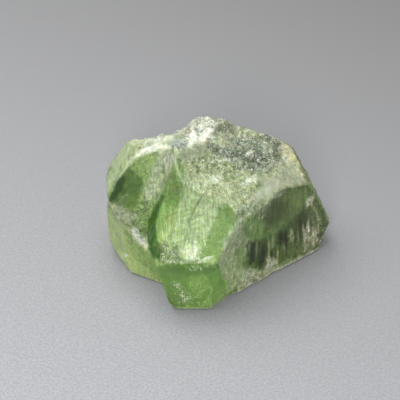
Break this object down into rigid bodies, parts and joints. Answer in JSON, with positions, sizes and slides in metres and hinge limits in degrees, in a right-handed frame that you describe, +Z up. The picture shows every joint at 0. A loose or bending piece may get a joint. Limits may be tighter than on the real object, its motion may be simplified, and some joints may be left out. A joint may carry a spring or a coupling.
{
  "type": "peridot crystal",
  "caption": "Cluster of clear green olivine crystals grown into one solid, with flat faces, frosted tops, a pale crust and a flat base.",
  "frame": {"origin": "centre of the bounding box's underside, on the surface the crystal rests on", "axes": "+X to the right along the longest side, +Y to the broken back, +Z up"},
  "size_m": [0.0322, 0.0238, 0.0187],
  "materials": {
    "olivine": "clear green crystal, frosted on its rough faces"
  },
  "bodies": {
    "root": {"peridot_crystal": "olivine"}
  },
  "joints": []
}
